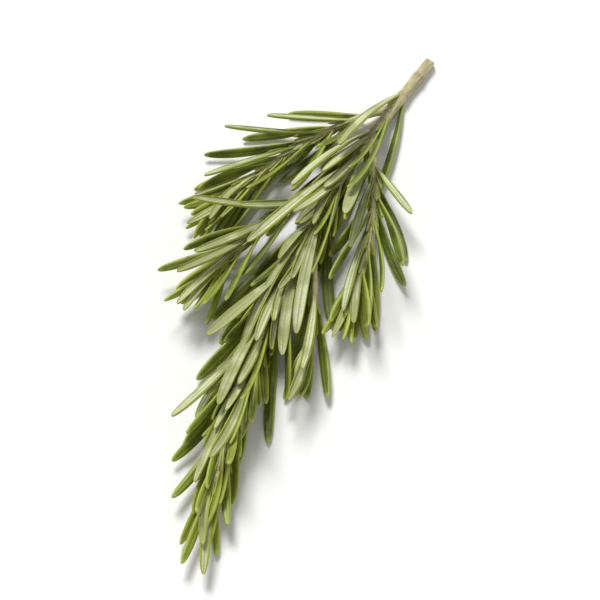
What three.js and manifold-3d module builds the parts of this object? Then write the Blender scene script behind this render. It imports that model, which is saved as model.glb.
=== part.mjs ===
// A cut sprig of rosemary, lying on a flat surface: a woody stem with its leaves in crossed pairs, a tuft of
// young leaves in each axil, and side shoots that leave it left and right.
//
// Millimetres, +Z up. The sprig lies along Y with its growing tip at -Y and its cut end at +Y. The origin is
// the bottom centre of its bounding box. Each leafy stem is one solid: the leaves are rooted in their own
// stem. A side shoot starts a hair's breadth off the main stem, and every leaf is turned clear of the other
// stems.

import * as THREE from "three";
import { mergeVertices } from "three/addons/utils/BufferGeometryUtils.js";
import Module from "manifold-3d";

const wasm = await Module();
wasm.setup();

// ---------------------------------------------------------------- driving dimensions

const STEM_LENGTH = 124; // main stem, from the cut to the growing tip
const STEM_RADIUS = [1.35, 0.6]; // at the cut and at the tip
const STEM_SIDES = 8;
const STEM_TURN = [-12, 10]; // heading in plan at the cut and at the tip, in degrees off -Y
const HEEL = 9; // bare length at the cut end, which lies level on the surface
const LIFT = 4.6; // how far the leaves under it raise the middle of the stem
const LIFT_REACHED = 52; // distance from the cut at which the stem is fully raised
const TIP_DROOP = 0.3; // share of the lift that the tip loses again
const DROOP_REACH = [0.7, 1]; // shares of the way up the stem between which it does
const CUT_SLANT = 0.3; // the cut is a little askew: millimetres along the stem for each one across it

const LEAF_LENGTH = 32; // the longest leaf
const LEAF_WIDTH = 3; // of the longest leaf
const SLENDER = 0.45; // a short leaf is narrower too, but by this share less than it is shorter
const LEAF_THICKNESS = 0.9;
const FOOT_LEAF_SHARE = 0.84; // length of the lowest leaves against the longest
const TIP_LEAF_SHARE = 0.54; // and of the last leaves, at the tip
const LONG_LEAVES_END = 0.8; // share of the way up at which the leaves are no longer than the lowest again
const TIP_LEAVES_REACH = [0.62, 1]; // shares of the way up between which they shorten to the last ones
const LEAF_BEND = 9; // how far a leaf curves towards its upper side, in degrees
const FIRST_PAIR = 12; // distance from the cut to the lowest pair
const FIRST_BEARING = 38; // its bearing round the stem, in degrees: 0 is up and 90 is towards -X
const PAIR_SPACING = [6.6, 2.2]; // between pairs, low on the stem and at the tip
const SPLAY = [38, 15]; // a leaf's angle to its stem, low on the stem and at the tip, in degrees
const PRESSED = 0.34; // share of its splay that a leaf on top of the stem loses, as if packed flat
const ON_TOP = 0.68; // a leaf is on top of its stem if it grows out at least this steeply upwards
const SETTLE = 0.55; // how far a leaf twists to lay a broad face flat, as a share of the way
const TUFT_LEAVES = 4; // young leaves in the fullest axils
const TUFTS_FILL = [0.06, 0.4]; // shares of the way up the stem between which the axils fill
const TUFTS_END = [0.74, 0.94]; // and between which they empty again
const TUFT_RISE = [1.2, 0.5]; // the first young leaf's distance up from the axil, and each next one's more
const TUFT_SCALE = [0.66, 0.42]; // their length as a share of the leaf below them, from first to last
const TUFT_AROUND = [24, 46]; // how far the inner and the outer two stand aside of that leaf, in degrees
const TUFT_SPLAY = [0.62, 0.9]; // their angle to the stem as a share of that leaf's, inner and outer
const TUFT_BEND = 6;
// How far one leaf differs from the next, either way. Places along the stem are in millimetres, length and
// width are shares, and the rest is in degrees.
const LEAF_SPREAD = {
  at: 0.6,
  bearing: 10,
  splay: 6,
  length: 0.12,
  width: 0.06,
  bend: 14,
  sway: 26, // how far a leaf curves to one side
  twist: 24,
};
const TUFT_SPREAD = { length: 0.14, bearing: 8, splay: 5, bend: 12, sway: 22, twist: 30 };

const SHOOT_RADIUS = [0.85, 0.45];
const SHOOT_SIDES = 6;
const SHOOT_FOOT = 4; // bare length at the foot of a side shoot
const SHOOT_PAIR_SPACING = [4.2, 1.8];
const SHOOT_LEAF_SHARE = 0.7; // a side shoot's leaves against the main stem's
const SHOOT_GAP = 0.35; // between the main stem's bark and the foot of a side shoot
const SHOOT_BELLY = 2; // leaves that lie folded under a side shoot keep its stem this far off the surface
const SHOOT_SAG = 4; // how fast a rising side shoot levels out under its own weight
const SHOOT_FIRST_BEARING = [20, 31]; // of the first shoot's lowest leaf, and each next shoot's more
// Where each side shoot leaves the main stem: distance from the cut, bearing round the stem, angle to the
// stem, length, and how far it curves back beside the main stem. Angles are in degrees.
const SIDE_SHOOTS = [
  { at: 19, bearing: 98, fork: 34, length: 46, curve: 26 },
  { at: 30, bearing: -96, fork: 36, length: 41, curve: 28 },
  { at: 47, bearing: 94, fork: 36, length: 33, curve: 28 },
  { at: 61, bearing: -96, fork: 34, length: 27, curve: 26 },
];

const SEED = 20417;

// ---------------------------------------------------------------- small helpers

const { sin, cos, abs, min, max, floor, round, sqrt, atan2, PI } = Math;
const radians = (degrees) => (degrees * PI) / 180;
const mix = ([a, b], u) => a + (b - a) * u;
const smooth = ([from, to], x) => {
  const t = min(max((x - from) / (to - from), 0), 1);
  return t * t * (3 - 2 * t);
};
const add = (a, b, k = 1) => [a[0] + b[0] * k, a[1] + b[1] * k, a[2] + b[2] * k];
const dot = (a, b) => a[0] * b[0] + a[1] * b[1] + a[2] * b[2];
const cross = (a, b) => [
  a[1] * b[2] - a[2] * b[1],
  a[2] * b[0] - a[0] * b[2],
  a[0] * b[1] - a[1] * b[0],
];
const unit = (a) => {
  const length = sqrt(dot(a, a));
  return [a[0] / length, a[1] / length, a[2] / length];
};
const square = (a, axis) => unit(add(a, axis, -dot(a, axis))); // a made square to axis
const turned = (a, side, angle) => [0, 1, 2].map((i) => a[i] * cos(angle) + side[i] * sin(angle));

// A seeded random number generator: draw() gives a number from -1 to 1.
let state = SEED;
const draw = () => {
  state = (state * 1664525 + 1013904223) % 4294967296;
  return state / 2147483648 - 1;
};

// ---------------------------------------------------------------- paths

// A path is a list of stations along a stem or a leaf. Each has its point, its heading, its face, which is
// the way the upper side looks, and across, which is the way its width runs.

const LEVEL_OFF = 0.7; // height above the surface from which a falling leaf or shoot levels off
const PUSHED_UP = 0.15; // slope at which one too near the surface rises, for each millimetre it lacks
const SEATED = 0.32; // height of a flat blade's middle above the surface, as a share of its thickness

// How high a point of the path stands when a blade of this half width and thickness lies on the surface.
const reachDown = (across, face, halfWidth, thickness) =>
  abs(across[2]) * halfWidth + abs(face[2]) * thickness * SEATED;

// A path that starts at root, bends towards its own face and sways to one side. It is twisted round its
// heading, most at the root, and sag is how fast its own weight levels a rising path out.
function growPath({ root, heading, face, length, steps, bend, sway, twist, sag, halfWidth, thickness }) {
  const path = [];
  let point = root;
  let ahead = heading;
  let up = face;
  for (let i = 0; i <= steps; i++) {
    const across = cross(ahead, up);
    path.push({ point, heading: ahead, face: up, across });
    const room = point[2] - reachDown(across, up, halfWidth, thickness);
    const next = add(add(ahead, up, bend / steps), across, sway / steps);
    next[2] *= next[2] < 0 ? min(max(room, 0) / LEVEL_OFF, 1) : 1 - sag / steps;
    if (room < 0) next[2] = max(next[2], -room * PUSHED_UP);
    ahead = unit(next);
    up = square(up, ahead);
    up = turned(up, cross(ahead, up), (twist * 2 * (1 - i / steps)) / steps);
    point = add(point, ahead, length / steps);
  }
  return path;
}

// The station at a share u of the way along a path.
function stationAt(path, u) {
  const at = min(max(u, 0), 1) * (path.length - 1);
  const i = min(floor(at), path.length - 2);
  const between = (key) => path[i][key].map((a, j) => a + (path[i + 1][key][j] - a) * (at - i));
  const heading = unit(between("heading"));
  const face = square(between("face"), heading);
  return { point: between("point"), heading, face, across: cross(heading, face) };
}

// The main stem's path, in steps of a millimetre: level along its heel, then raised by the leaves below it,
// and bowed in plan.
function mainStemPath() {
  const heelHeight = STEM_RADIUS[0] * cos(PI / STEM_SIDES);
  const points = [];
  let x = 0;
  let y = 0;
  for (let s = 0; s <= STEM_LENGTH; s++) {
    const droop = 1 - TIP_DROOP * smooth(DROOP_REACH, s / STEM_LENGTH);
    points.push([x, y, heelHeight + LIFT * smooth([HEEL, LIFT_REACHED], s) * droop]);
    const turn = radians(mix(STEM_TURN, max(s - HEEL, 0) / (STEM_LENGTH - HEEL)));
    x += sin(turn);
    y -= cos(turn);
  }
  return points.map((point, i) => {
    const heading = unit(add(points[min(i + 1, STEM_LENGTH)], points[max(i - 1, 0)], -1));
    const face = square([0, 0, 1], heading);
    return { point, heading, face, across: cross(heading, face) };
  });
}

// ---------------------------------------------------------------- room for each leaf

// What has grown so far, as balls in a grid of cells, so that a new leaf can be turned clear of it.
const CELL = 2.8;
const CLEAR = 0.45; // leaves of two stems stay this far apart
// Leaves of one stem may overlap, down to this share of their reach: low on the stem, and at its tip.
const TOUCH = [0.5, 0.28];
const TOUCH_REACH = [0.65, 0.95]; // shares of the way up the stem between which that changes
const crowd = new Map();
const cellOf = (point) => point.map((x) => floor(x / CELL));

function occupy(balls) {
  for (const ball of balls) {
    const key = cellOf(ball.point).join();
    if (!crowd.has(key)) crowd.set(key, []);
    crowd.get(key).push(ball);
  }
}

function isClear(balls, touch) {
  return balls.every(({ point, reach, owner }) => {
    const [cx, cy, cz] = cellOf(point);
    for (let i = cx - 1; i <= cx + 1; i++)
      for (let j = cy - 1; j <= cy + 1; j++)
        for (let k = cz - 1; k <= cz + 1; k++)
          for (const other of crowd.get(`${i},${j},${k}`) ?? []) {
            const reaches = reach + other.reach;
            const needed = other.owner === owner ? reaches * touch : reaches + CLEAR;
            const apart = add(point, other.point, -1);
            if (dot(apart, apart) < needed * needed) return false;
          }
    return true;
  });
}

const LEAF_STEPS = 20;
const ROOT_FREE = 6; // steps at a leaf's root that aren't tested, where it stands among its neighbours
const YOUNG_ROOT_FREE = 9; // and for a young leaf, which comes out of another's axil
const BALL_REACH = 0.62;
const BALL_ROWS = [-0.62, 0, 0.62]; // along the middle and near each margin, as shares of the half width

const leafBalls = (leaf, firstStep) =>
  leaf.path.slice(firstStep).flatMap(({ point, across }) =>
    BALL_ROWS.map((row) => ({
      point: add(point, across, (row * leaf.width) / 2),
      reach: BALL_REACH,
      owner: leaf.owner,
    })),
  );

const stemBalls = (shoot) =>
  shoot.path.map(({ point }, i) => ({
    point,
    reach: mix(shoot.radius, i / (shoot.path.length - 1)),
    owner: shoot.name,
  }));

// ---------------------------------------------------------------- leaves

const ROOT_OUT = 0.5; // a leaf starts inside its stem, this share of the way out to the bark

// The twist that lays a blade flat. A leaf on top of its stem shows its underside, and every other leaf
// turns its upper side up.
const flatTwist = (across, face, outward) => {
  const over = outward[2] > ON_TOP ? -1 : 1;
  return atan2(over * across[2], over * face[2]);
};

// A leaf on a shoot's stem: bearing goes round the stem, and splay is its angle to it.
function placeLeaf(shoot, { at, bearing, splay, length, width, bend, sway, twist }) {
  const station = stationAt(shoot.path, at / shoot.length);
  const outward = turned(station.face, station.across, bearing);
  const heading = turned(station.heading, outward, splay * (1 - PRESSED * max(outward[2], 0)));
  const face = square(station.heading, heading);
  return {
    owner: shoot.name,
    length,
    width,
    path: growPath({
      root: add(station.point, outward, ROOT_OUT * mix(shoot.radius, at / shoot.length)),
      heading,
      face,
      length,
      steps: LEAF_STEPS,
      bend,
      sway,
      twist: twist + SETTLE * flatTwist(cross(heading, face), face, outward),
      sag: 0,
      halfWidth: width / 2,
      thickness: LEAF_THICKNESS,
    }),
  };
}

const TRIES = 13;
const TRY_BEARING = radians(9);
const TRY_SPLAY = radians(4);

// Grows a leaf where the rule puts it, or turned aside step by step until it has room. Where no try is
// clear, the leaf is left out.
function growLeaf(shoot, rule, rootFree = ROOT_FREE) {
  const touch = mix(TOUCH, smooth(TOUCH_REACH, rule.at / shoot.length));
  for (let i = 0; i < TRIES; i++) {
    const aside = (i % 2 ? 1 : -1) * floor((i + 1) / 2);
    const leaf = placeLeaf(shoot, {
      ...rule,
      bearing: rule.bearing + aside * TRY_BEARING,
      splay: rule.splay + (i ? ((i % 3) - 1) * TRY_SPLAY : 0),
    });
    if (!isClear(leafBalls(leaf, rootFree), touch)) continue;
    shoot.leaves.push(leaf);
    occupy(leafBalls(leaf, 0));
    return;
  }
}

// A leaf's length at a share u of the way up its shoot, against the longest leaf.
const leafShareAt = (u) => {
  const full = mix([FOOT_LEAF_SHARE, 1], sin(PI * min(u / LONG_LEAVES_END, 1)));
  return full * mix([1, TIP_LEAF_SHARE / FOOT_LEAF_SHARE], smooth(TIP_LEAVES_REACH, u));
};

// The crossed pairs of leaves up a shoot, as rules that growLeaf follows.
function leafRules(shoot, bare, spacing) {
  const rules = [];
  const vary = LEAF_SPREAD;
  let quarter = shoot.firstBearing;
  for (let at = bare; at < shoot.length; at += mix(spacing, (at - bare) / (shoot.length - bare))) {
    const u = at / shoot.length;
    const share = leafShareAt(u) * shoot.leafShare;
    for (const side of [0, PI]) {
      rules.push({
        at: min(at + vary.at * draw(), shoot.length),
        bearing: quarter + side + radians(vary.bearing * draw()),
        splay: radians(mix(SPLAY, u) + vary.splay * draw()),
        length: LEAF_LENGTH * share * (1 + vary.length * draw()),
        width: LEAF_WIDTH * mix([SLENDER, 1], share) * (1 + vary.width * draw()),
        bend: radians(LEAF_BEND + vary.bend * draw()),
        sway: radians(vary.sway * draw()),
        twist: radians(vary.twist * draw()),
      });
    }
    quarter += PI / 2;
  }
  return rules;
}

// The tuft of young leaves in a leaf's axil: short leaves between the leaf and the stem. It is fullest half
// way up, and there is none at the tip.
function tuftRules(rule, u) {
  const vary = TUFT_SPREAD;
  const fullness = smooth(TUFTS_FILL, u) * (1 - smooth(TUFTS_END, u));
  return Array.from({ length: round(TUFT_LEAVES * fullness) }, (_, i) => {
    const ring = i < 2 ? 0 : 1; // inner or outer
    const around = (i % 2 ? 1 : -1) * TUFT_AROUND[ring];
    const share = mix(TUFT_SCALE, i / (TUFT_LEAVES - 1)) * (1 + vary.length * draw());
    return {
      at: rule.at + TUFT_RISE[0] + TUFT_RISE[1] * i,
      bearing: rule.bearing + radians(around + vary.bearing * draw()),
      splay: rule.splay * TUFT_SPLAY[ring] + radians(vary.splay * draw()),
      length: rule.length * share,
      width: rule.width * mix([SLENDER, 1], share),
      bend: radians(TUFT_BEND + vary.bend * draw()),
      sway: radians(vary.sway * draw()),
      twist: radians(vary.twist * draw()),
    };
  });
}

// ---------------------------------------------------------------- growing the sprig

const mainStem = {
  name: "main_leafy_stem",
  path: mainStemPath(),
  length: STEM_LENGTH,
  radius: STEM_RADIUS,
  sides: STEM_SIDES,
  firstBearing: radians(FIRST_BEARING),
  leafShare: 1,
  leaves: [],
};

// A side shoot: it starts just off the main stem's bark and curves round until it runs beside it.
function sideShoot({ at, bearing, fork, length, curve }, i) {
  const station = stationAt(mainStem.path, at / STEM_LENGTH);
  const outward = turned(station.face, station.across, radians(bearing));
  const heading = turned(station.heading, outward, radians(fork));
  const offAxis = mix(STEM_RADIUS, at / STEM_LENGTH) + SHOOT_RADIUS[0] * cos(radians(fork)) + SHOOT_GAP;
  return {
    name: `side_shoot_${i + 1}`,
    path: growPath({
      root: add(station.point, outward, offAxis),
      heading,
      face: square(station.heading, heading),
      length,
      steps: round(length),
      bend: radians(curve),
      sway: 0,
      twist: 0,
      sag: SHOOT_SAG,
      halfWidth: SHOOT_RADIUS[0] + SHOOT_BELLY,
      thickness: 2 * (SHOOT_RADIUS[0] + SHOOT_BELLY),
    }),
    length,
    radius: SHOOT_RADIUS,
    sides: SHOOT_SIDES,
    firstBearing: radians(SHOOT_FIRST_BEARING[0] + SHOOT_FIRST_BEARING[1] * i),
    leafShare: SHOOT_LEAF_SHARE,
    leaves: [],
    forkAt: at,
    forkBearing: radians(bearing),
  };
}

const sideShoots = SIDE_SHOOTS.map(sideShoot);
const shoots = [mainStem, ...sideShoots];
shoots.forEach((shoot) => occupy(stemBalls(shoot)));

// A leaf of the main stem just below or above a side shoot's foot gives way to it.
const FOOT_BELOW = 5;
const FOOT_ABOVE = 4;
const FOOT_WIDTH = radians(50);
const givesWay = ({ at, bearing }) =>
  sideShoots.some(({ forkAt, forkBearing }) => {
    const apart = abs(atan2(sin(bearing - forkBearing), cos(bearing - forkBearing)));
    return at > forkAt - FOOT_BELOW && at < forkAt + FOOT_ABOVE && apart < FOOT_WIDTH;
  });

const mainRules = leafRules(mainStem, FIRST_PAIR, PAIR_SPACING).filter((rule) => !givesWay(rule));
const shootRules = sideShoots.map((shoot) => leafRules(shoot, SHOOT_FOOT, SHOOT_PAIR_SPACING));
const youngRules = mainRules.flatMap((rule) => tuftRules(rule, rule.at / STEM_LENGTH));

mainRules.forEach((rule) => growLeaf(mainStem, rule));
shootRules.forEach((rules, i) => rules.forEach((rule) => growLeaf(sideShoots[i], rule)));
youngRules.filter((rule) => !givesWay(rule)).forEach((rule) => growLeaf(mainStem, rule, YOUNG_ROOT_FREE));

// ---------------------------------------------------------------- solids

// A closed cylinder whose every vertex is moved by shape(x, z, u): x and z are its place on the unit circle,
// z is towards the face, and u runs from 0 at the root to 1 at the tip.
function bentCylinder(sides, rings, turn, shape) {
  const geometry = new THREE.CylinderGeometry(1, 1, 1, sides, rings, false, turn);
  geometry.deleteAttribute("normal");
  geometry.deleteAttribute("uv");
  const position = geometry.getAttribute("position");
  for (let i = 0; i < position.count; i++)
    position.setXYZ(i, ...shape(position.getX(i), position.getZ(i), position.getY(i) + 0.5));
  const merged = mergeVertices(geometry, 1e-5);
  return new wasm.Manifold(
    new wasm.Mesh({
      numProp: 3,
      vertProperties: merged.getAttribute("position").array,
      triVerts: new Uint32Array(merged.index.array),
    }),
  );
}

// A leaf's outline: for each ring, its distance along the leaf and its width there, as shares.
const LEAF_OUTLINE = [
  [0, 0.4],
  [0.34, 0.95],
  [0.87, 0.92],
  [1, 0.45],
];
const LEAF_SIDES = 6;
const YOUNG_SIDES = 4;
const YOUNG_BELOW = 24; // leaves shorter than this have fewer sides
const LEAF_ARCH = 0.3; // how far the margins lie below the middle, against the thickness
const BLADE_HALF = 0.6; // half the height of the blade's middle, against the thickness
const THINNED = [0.6, 1]; // the thickness where the blade is narrowest and where it is widest

// A leaf blade is an arch across its width, thinner towards its narrow ends.
function leafSolid(leaf) {
  const sides = leaf.length < YOUNG_BELOW ? YOUNG_SIDES : LEAF_SIDES;
  const rings = LEAF_OUTLINE.length - 1;
  return bentCylinder(sides, rings, 0, (x, z, u) => {
    const [along, share] = LEAF_OUTLINE[round(u * rings)];
    const { point, across, face } = stationAt(leaf.path, along);
    const high = LEAF_THICKNESS * (BLADE_HALF * z - LEAF_ARCH * x * x) * mix(THINNED, share);
    const placed = add(add(point, across, (x * leaf.width * share) / 2), face, high);
    placed[2] = max(placed[2], 0);
    return placed;
  });
}

const RING_SPACING = 5; // between the rings of a stem

function stemSolid(shoot) {
  const bare = shoot === mainStem ? HEEL / STEM_LENGTH : 0;
  return bentCylinder(shoot.sides, round(shoot.length / RING_SPACING), PI / shoot.sides, (x, z, u) => {
    const { point, across, face, heading } = stationAt(shoot.path, u);
    const radius = mix(shoot.radius, max(u - bare, 0) / (1 - bare));
    const slant = shoot === mainStem && u === 0 ? CUT_SLANT * radius * z : 0;
    return add(add(add(point, across, x * radius), face, z * radius), heading, slant);
  });
}

// One leafy stem as one body. A hollow that the leaves close off is filled.
function leafyStem(shoot) {
  const joined = wasm.Manifold.union([stemSolid(shoot), ...shoot.leaves.map(leafSolid)]);
  const bodies = joined.decompose().sort((a, b) => b.volume() - a.volume());
  const { numProp, vertProperties, triVerts } = bodies[0].getMesh();
  const geometry = new THREE.BufferGeometry();
  geometry.setAttribute("position", new THREE.BufferAttribute(vertProperties, numProp));
  geometry.setIndex(new THREE.BufferAttribute(triVerts, 1));
  return geometry;
}

// ---------------------------------------------------------------- the part

const leafGreen = new THREE.MeshStandardMaterial({ color: "#6b7d2a", roughness: 0.55, metalness: 0 });
const shootGreen = new THREE.MeshStandardMaterial({ color: "#7d9136", roughness: 0.55, metalness: 0 });

const sprig = new THREE.Group();
sprig.name = "rosemary_sprig";
for (const shoot of shoots) {
  const mesh = new THREE.Mesh(leafyStem(shoot), shoot === mainStem ? leafGreen : shootGreen);
  mesh.name = shoot.name;
  sprig.add(mesh);
}

// The origin goes to the bottom centre of the bounding box. The heel and the lowest leaves are at height 0.
const box = new THREE.Box3().setFromObject(sprig, true);
const centre = box.getCenter(new THREE.Vector3());
sprig.position.set(-centre.x, -centre.y, 0);

export default sprig;
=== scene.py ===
# A cut sprig of fresh rosemary, lying on a pale surface. The leaves and stems grow by the same rule as the
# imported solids, so each fine leaf lies where its plain one does. Growing is done in millimetres, and the
# pieces are in metres.

import random
from itertools import product
from math import atan2, copysign, cos, floor, pi, sin, sqrt
from types import SimpleNamespace

import bmesh
import bpy
import numpy as np
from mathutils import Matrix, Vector


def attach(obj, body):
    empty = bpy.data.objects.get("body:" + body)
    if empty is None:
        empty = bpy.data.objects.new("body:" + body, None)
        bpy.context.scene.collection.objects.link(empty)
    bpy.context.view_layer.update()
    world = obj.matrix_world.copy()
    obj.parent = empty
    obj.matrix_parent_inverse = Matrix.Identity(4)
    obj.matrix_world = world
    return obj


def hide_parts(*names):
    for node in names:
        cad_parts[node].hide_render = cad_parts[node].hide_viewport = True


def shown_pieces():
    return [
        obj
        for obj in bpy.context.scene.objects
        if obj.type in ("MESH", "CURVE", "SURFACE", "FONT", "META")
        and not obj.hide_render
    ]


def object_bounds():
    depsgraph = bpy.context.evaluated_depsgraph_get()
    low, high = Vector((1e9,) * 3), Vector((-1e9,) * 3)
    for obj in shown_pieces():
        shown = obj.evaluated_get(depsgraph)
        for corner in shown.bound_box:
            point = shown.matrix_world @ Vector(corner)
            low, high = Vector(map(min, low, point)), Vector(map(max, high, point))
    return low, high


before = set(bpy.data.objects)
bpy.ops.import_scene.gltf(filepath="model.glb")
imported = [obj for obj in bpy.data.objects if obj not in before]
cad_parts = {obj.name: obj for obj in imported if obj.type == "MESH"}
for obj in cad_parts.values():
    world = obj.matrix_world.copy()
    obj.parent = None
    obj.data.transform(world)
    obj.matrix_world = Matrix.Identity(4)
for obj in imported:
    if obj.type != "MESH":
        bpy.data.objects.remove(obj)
cad_box = [list(corner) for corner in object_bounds()]

MM = 0.001

# ------------ driving dimensions, in millimetres and degrees

STEM_LENGTH = 124  # main stem, from the cut to the growing tip
STEM_RADIUS = (1.35, 0.6)  # at the cut and at the tip
STEM_SIDES = 8  # of the plain solid, whose flat underside lies on the surface
STEM_TURN = (-12, 10)  # heading in plan at the cut and at the tip
HEEL = 9  # bare length at the cut end
LIFT = 4.6  # how far the leaves under it raise the middle of the stem
LIFT_REACHED = 52  # distance from the cut
TIP_DROOP = 0.3  # share of the lift that the tip loses again
DROOP_REACH = (0.7, 1)  # shares of the way up the stem
CUT_SLANT = 0.3  # millimetres along the stem for each one across it

LEAF_LENGTH = 32  # the longest leaf
LEAF_WIDTH = 3
SLENDER = 0.45  # a short leaf is narrower too, but by this share less than it is shorter
LEAF_THICKNESS = 0.9
FOOT_LEAF_SHARE = 0.84  # length of the lowest leaves, against the longest
TIP_LEAF_SHARE = 0.54  # and of the last
LONG_LEAVES_END = 0.8  # share of the way up
TIP_LEAVES_REACH = (0.62, 1)
LEAF_BEND = 9
FIRST_PAIR = 12
FIRST_BEARING = 38  # round the stem, from 0 on top
PAIR_SPACING = (6.6, 2.2)  # between pairs, low on the stem and at the tip
SPLAY = (38, 15)  # a leaf's angle to its stem, low on the stem and at the tip
PRESSED = 0.34  # share of its splay that a leaf on top of the stem loses
ON_TOP = 0.68  # how steeply upwards such a leaf grows out at least
SETTLE = 0.55  # how far a leaf twists to lay a broad face flat
TUFT_LEAVES = 4  # young leaves in the fullest axils
TUFTS_FILL = (0.06, 0.4)  # shares of the way up the stem
TUFTS_END = (0.74, 0.94)
TUFT_RISE = (1.2, 0.5)  # of the first above the axil, and each next one's more
TUFT_SCALE = (0.66, 0.42)  # length of the first and last, against the leaf below them
TUFT_AROUND = (24, 46)  # of the inner and the outer two, from that leaf
TUFT_SPLAY = (0.62, 0.9)  # against that leaf's
TUFT_BEND = 6
# How far one leaf differs from the next, either way, in length and width as shares.
LEAF_SPREAD = SimpleNamespace(
    at=0.6, bearing=10, splay=6, length=0.12, width=0.06, bend=14, sway=26, twist=24
)
TUFT_SPREAD = SimpleNamespace(bearing=8, splay=5, length=0.14, bend=12, sway=22, twist=30)

SHOOT_RADIUS = (0.85, 0.45)
SHOOT_FOOT = 4  # bare length
SHOOT_PAIR_SPACING = (4.2, 1.8)
SHOOT_LEAF_SHARE = 0.7
SHOOT_GAP = 0.35  # from the main stem's bark
SHOOT_BELLY = 2  # how high the leaves folded under a shoot hold it
SHOOT_SAG = 4  # how fast a rising shoot levels out
SHOOT_FIRST_BEARING = (20, 31)  # of the first shoot, and each next one's more
# Distance from the cut, bearing round the stem (0 is up), angle to the stem, length, curve back.
SIDE_SHOOTS = ((19, 98, 34, 46, 26), (30, -96, 36, 41, 28), (47, 94, 36, 33, 28), (61, -96, 34, 27, 26))

SEED = 20417

# ------------ growing: small helpers


def radians(degrees):
    return degrees * pi / 180


def mix(pair, u):
    return pair[0] + (pair[1] - pair[0]) * u


def smooth(reach, x):
    t = min(max((x - reach[0]) / (reach[1] - reach[0]), 0), 1)
    return t * t * (3 - 2 * t)


def add(a, b, k=1):
    return (a[0] + b[0] * k, a[1] + b[1] * k, a[2] + b[2] * k)


def partway(a, b, k):
    return add(a, add(b, a, -1), k)


def dot(a, b):
    return a[0] * b[0] + a[1] * b[1] + a[2] * b[2]


def cross(a, b):
    return (a[1] * b[2] - a[2] * b[1], a[2] * b[0] - a[0] * b[2], a[0] * b[1] - a[1] * b[0])


def unit(a):
    length = sqrt(dot(a, a))
    return (a[0] / length, a[1] / length, a[2] / length)


def square(a, axis):
    """a made square to axis."""
    return unit(add(a, axis, -dot(a, axis)))


def turned(a, side, angle):
    c, s = cos(angle), sin(angle)
    return (a[0] * c + side[0] * s, a[1] * c + side[1] * s, a[2] * c + side[2] * s)


DRAW_FACTOR = 1664525
DRAW_SHIFT = 1013904223
DRAW_STATES = 2**32


def draws(seed):
    """Seeded random numbers from -1 to 1."""
    state = seed
    while True:
        state = (state * DRAW_FACTOR + DRAW_SHIFT) % DRAW_STATES
        yield 2 * state / DRAW_STATES - 1


growth = draws(SEED)


def draw():
    return next(growth)


# ------------ growing: paths

# A path is a list of stations. Each has its point, its heading, its face, which is the way a blade's upper
# side looks, and its across, which is the way the width runs.

LEVEL_OFF = 0.7  # millimetres above the surface, below which a path that sinks levels off
PUSHED_UP = 0.15  # how steeply a path in the surface rises, for each millimetre that it is too low
SEATED = 0.32  # height of a blade's midline where it lies flat, against its thickness


def station(point, heading, face):
    return SimpleNamespace(point=point, heading=heading, face=face, across=cross(heading, face))


def grow_path(root, heading, face, length, steps, half_width, thickness, bend, sway=0, twist=0, sag=0):
    """A path that bends towards its face, sways aside, twists and sags, and stays above the surface."""
    path = []
    point, ahead, up = root, heading, face
    for i in range(steps + 1):
        here = station(point, ahead, up)
        path.append(here)
        room = point[2] - (abs(here.across[2]) * half_width + abs(up[2]) * thickness * SEATED)
        nx, ny, nz = add(add(ahead, up, bend / steps), here.across, sway / steps)
        nz *= min(max(room, 0) / LEVEL_OFF, 1) if nz < 0 else 1 - sag / steps
        if room < 0:
            nz = max(nz, -room * PUSHED_UP)
        ahead = unit((nx, ny, nz))
        up = square(up, ahead)
        up = turned(up, cross(ahead, up), twist * 2 * (1 - i / steps) / steps)
        point = add(point, ahead, length / steps)
    return path


def station_at(path, u):
    at = min(max(u, 0), 1) * (len(path) - 1)
    i = min(floor(at), len(path) - 2)
    low, high = path[i], path[i + 1]
    heading = unit(partway(low.heading, high.heading, at - i))
    face = square(partway(low.face, high.face, at - i), heading)
    return station(partway(low.point, high.point, at - i), heading, face)


def main_stem_path():
    heel_height = STEM_RADIUS[0] * cos(pi / STEM_SIDES)
    points = []
    x = y = 0
    for s in range(STEM_LENGTH + 1):
        droop = 1 - TIP_DROOP * smooth(DROOP_REACH, s / STEM_LENGTH)
        points.append((x, y, heel_height + LIFT * smooth((HEEL, LIFT_REACHED), s) * droop))
        turn = radians(mix(STEM_TURN, max(s - HEEL, 0) / (STEM_LENGTH - HEEL)))
        x += sin(turn)
        y -= cos(turn)
    path = []
    for i, point in enumerate(points):
        heading = unit(add(points[min(i + 1, STEM_LENGTH)], points[max(i - 1, 0)], -1))
        path.append(station(point, heading, square((0, 0, 1), heading)))
    return path


# ------------ growing: room for each leaf

# Rows of balls stand for each leaf, and the crowd holds the balls of each cell of space.

CELL = 2.8
CLEAR = 0.45  # millimetres that leaves of different stems keep apart
TOUCH = (0.5, 0.28)  # how near those of one stem come, low down and at the tip: at 1 their balls touch
TOUCH_REACH = (0.65, 0.95)
LEAF_STEPS = 20
ROOT_FREE = 6  # steps from the root that may be in others' way
YOUNG_ROOT_FREE = 9
BALL_REACH = 0.62
BALL_ROWS = (-0.62, 0, 0.62)  # half widths from the midline
crowd = {}


def cell_of(point):
    return (floor(point[0] / CELL), floor(point[1] / CELL), floor(point[2] / CELL))


def occupy(balls):
    for ball in balls:
        crowd.setdefault(cell_of(ball[0]), []).append(ball)


def is_clear(balls, touch):
    for (x, y, z), reach, owner in balls:
        i, j, k = cell_of((x, y, z))
        for di, dj, dk in product((-1, 0, 1), repeat=3):
            for (ox, oy, oz), other_reach, other_owner in crowd.get((i + di, j + dj, k + dk), ()):
                reaches = reach + other_reach
                needed = reaches * touch if other_owner == owner else reaches + CLEAR
                dx, dy, dz = x - ox, y - oy, z - oz
                if dx * dx + dy * dy + dz * dz < needed * needed:
                    return False
    return True


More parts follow.
